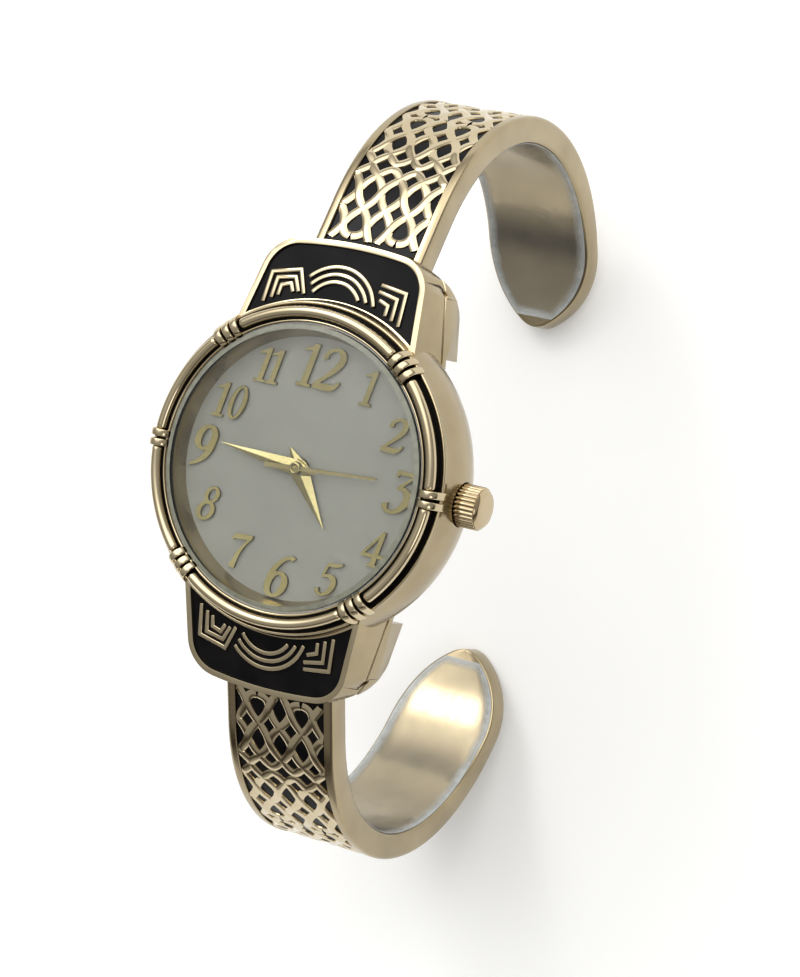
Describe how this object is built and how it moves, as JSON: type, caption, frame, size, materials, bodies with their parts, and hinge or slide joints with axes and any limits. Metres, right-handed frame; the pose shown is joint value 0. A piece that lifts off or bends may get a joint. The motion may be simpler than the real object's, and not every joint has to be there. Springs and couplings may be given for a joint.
{
  "type": "bangle watch",
  "caption": "Bangle watch: round gold-coloured quartz case between two black relief wings, on a sprung open cuff with a knotwork band and a pull-out crown.",
  "frame": {"origin": "centre of the case back's flat outer face, which rests on the wrist", "axes": "+Z out of the dial, +Y towards twelve o'clock and along the cuff, +X towards three o'clock and the crown"},
  "size_m": [0.0306, 0.0678, 0.0448],
  "materials": {
    "gold_plate": "polished",
    "gold_hands": "polished",
    "black_enamel": "gloss",
    "mineral_glass": "polished",
    "pearl_dial": "pearl lacquer",
    "nylon": "satin",
    "nitrile": "matt",
    "steel": "brushed",
    "movement_brass": "satin",
    "coil_wire": "satin",
    "board": "satin",
    "film": "gloss"
  },
  "bodies": {
    "watch_case": {"case": "gold_plate", "bezel_enamel_inner": "black_enamel", "bezel_enamel_outer": "black_enamel", "upper_wing_enamel": "black_enamel", "lower_wing_enamel": "black_enamel", "crystal": "mineral_glass", "crystal_gasket": "nylon", "rehaut": "gold_plate", "dial": "pearl_dial", "dial_numerals": "gold_hands", "main_plate": "movement_brass", "train_bridge": "steel", "movement_screws": "steel", "stator": "steel", "coil": "coil_wire", "coil_core": "steel", "circuit_board": "board", "chip": "black_enamel", "quartz_can": "steel", "battery": "steel", "battery_clamp": "steel", "movement_holder": "nylon", "stem_tube": "steel", "case_back": "steel", "back_gasket": "nitrile", "upper_hinge_pin": "steel", "lower_hinge_pin": "steel", "upper_hinge_spring": "steel", "lower_hinge_spring": "steel"},
    "upper_cuff_arm": {"upper_arm": "gold_plate", "upper_arm_enamel": "black_enamel", "upper_arm_plait": "gold_plate", "upper_film": "film"},
    "lower_cuff_arm": {"lower_arm": "gold_plate", "lower_arm_enamel": "black_enamel", "lower_arm_plait": "gold_plate", "lower_film": "film"},
    "minute_arbor": {"minute_hand": "gold_hands", "cannon_pinion": "movement_brass", "centre_wheel": "movement_brass"},
    "hour_pipe": {"hour_hand": "gold_hands", "hour_wheel": "movement_brass"},
    "second_arbor": {"second_hand": "gold_hands", "fourth_wheel": "movement_brass"},
    "motion_wheel": {"minute_wheel": "movement_brass"},
    "third_arbor": {"third_wheel": "movement_brass"},
    "rotor_arbor": {"rotor": "steel"},
    "stem_slide": {"stem_yoke": "steel"},
    "crown_and_stem": {"crown": "gold_plate", "crown_gasket": "nitrile", "stem": "steel", "clutch_wheel": "steel"}
  },
  "joints": [
    {"name": "upper_arm_hinge", "type": "hinge", "parent": "watch_case", "child": "upper_cuff_arm", "pos_m": [0, 0.0165, 0.003], "axis": [1, 0, 0], "range_deg": [0, 20], "stiffness_Nm_per_rad": 0.046, "springref_deg": -37.24},
    {"name": "lower_arm_hinge", "type": "hinge", "parent": "watch_case", "child": "lower_cuff_arm", "pos_m": [0, -0.0165, 0.003], "axis": [-1, 0, 0], "range_deg": [0, 20], "stiffness_Nm_per_rad": 0.046, "springref_deg": -37.24},
    {"name": "minute_turn", "type": "hinge", "parent": "watch_case", "child": "minute_arbor", "pos_m": [0, 0, 0.0065], "axis": [0, 0, -1], "continuous": true},
    {"name": "hour_turn", "type": "hinge", "parent": "watch_case", "child": "hour_pipe", "pos_m": [0, 0, 0.0065], "axis": [0, 0, -1], "continuous": true},
    {"name": "second_turn", "type": "hinge", "parent": "watch_case", "child": "second_arbor", "pos_m": [0, 0, 0.0065], "axis": [0, 0, -1], "continuous": true},
    {"name": "motion_turn", "type": "hinge", "parent": "watch_case", "child": "motion_wheel", "pos_m": [-0.00221, 0.00185, 0.006], "axis": [0, 0, -1], "continuous": true},
    {"name": "third_turn", "type": "hinge", "parent": "watch_case", "child": "third_arbor", "pos_m": [0.00215, 0.00193, 0.0045], "axis": [0, 0, -1], "continuous": true},
    {"name": "rotor_turn", "type": "hinge", "parent": "watch_case", "child": "rotor_arbor", "pos_m": [-0.0006, -0.0052, 0.0045], "axis": [0, 0, -1], "continuous": true},
    {"name": "crown_pull", "type": "slide", "parent": "watch_case", "child": "stem_slide", "axis": [1, 0, 0], "range_m": [0, 0.001]},
    {"name": "crown_turn", "type": "hinge", "parent": "stem_slide", "child": "crown_and_stem", "pos_m": [0.0155, 0, 0.0051], "axis": [1, 0, 0], "continuous": true}
  ],
  "couplings": [
    {"joint": "hour_turn", "follows": "minute_turn", "ratio": 0.083333},
    {"joint": "second_turn", "follows": "minute_turn", "ratio": 60},
    {"joint": "motion_turn", "follows": "minute_turn", "ratio": -0.33333},
    {"joint": "third_turn", "follows": "minute_turn", "ratio": -8}
  ]
}
